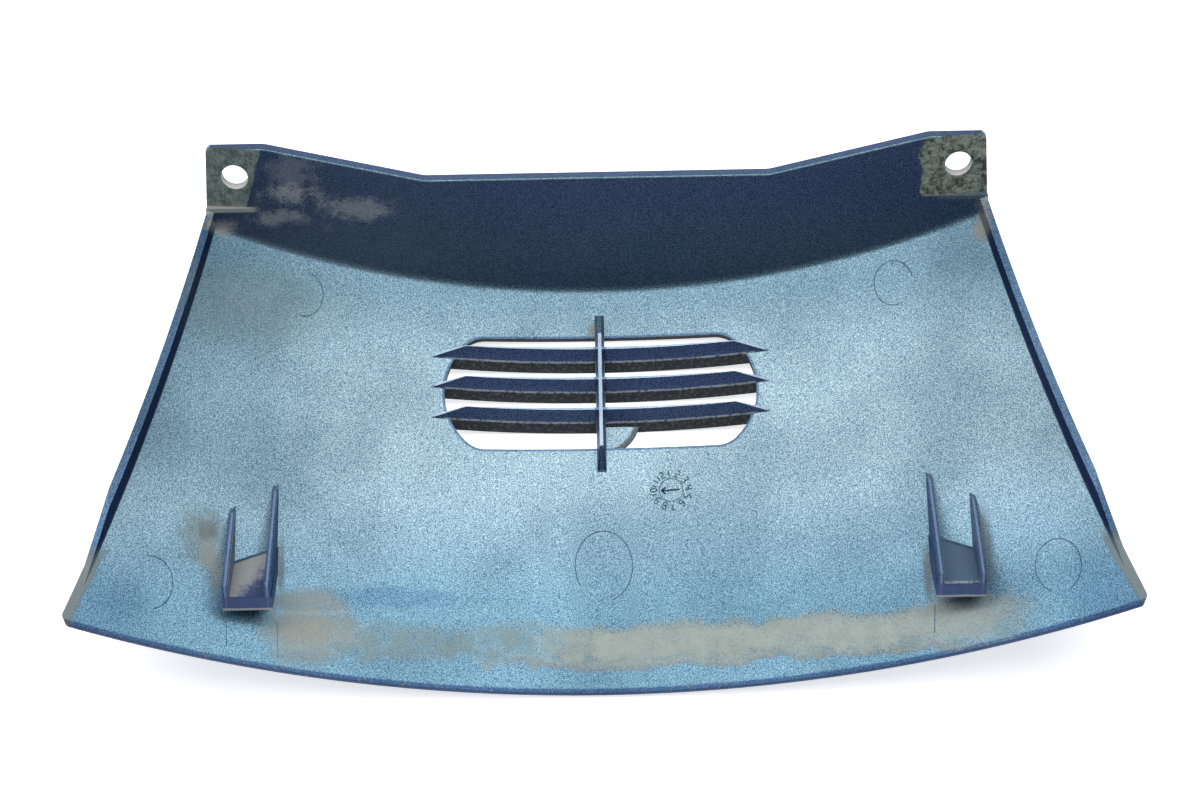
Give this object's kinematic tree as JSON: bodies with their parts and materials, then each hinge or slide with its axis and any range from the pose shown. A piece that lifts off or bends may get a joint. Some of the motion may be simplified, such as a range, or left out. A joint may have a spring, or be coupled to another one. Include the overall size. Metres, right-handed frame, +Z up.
{
  "type": "scooter rear fairing cover",
  "caption": "Bowed moulded fairing cover with a standing flange, holed ears, side lips, a louvred vent and hook clips on its inner side.",
  "frame": {"origin": "under the middle of the cover, at the surface that its bowed outer skin rests on", "axes": "+X across the panel, +Y up the panel towards the flange, +Z up out of the inner side"},
  "size_m": [0.2608, 0.1364, 0.037],
  "materials": {
    "blue_paint": "metallic blue paint on moulded plastic, dusty and worn at the edges"
  },
  "bodies": {
    "root": {"rear_cover": "blue_paint"}
  },
  "joints": []
}
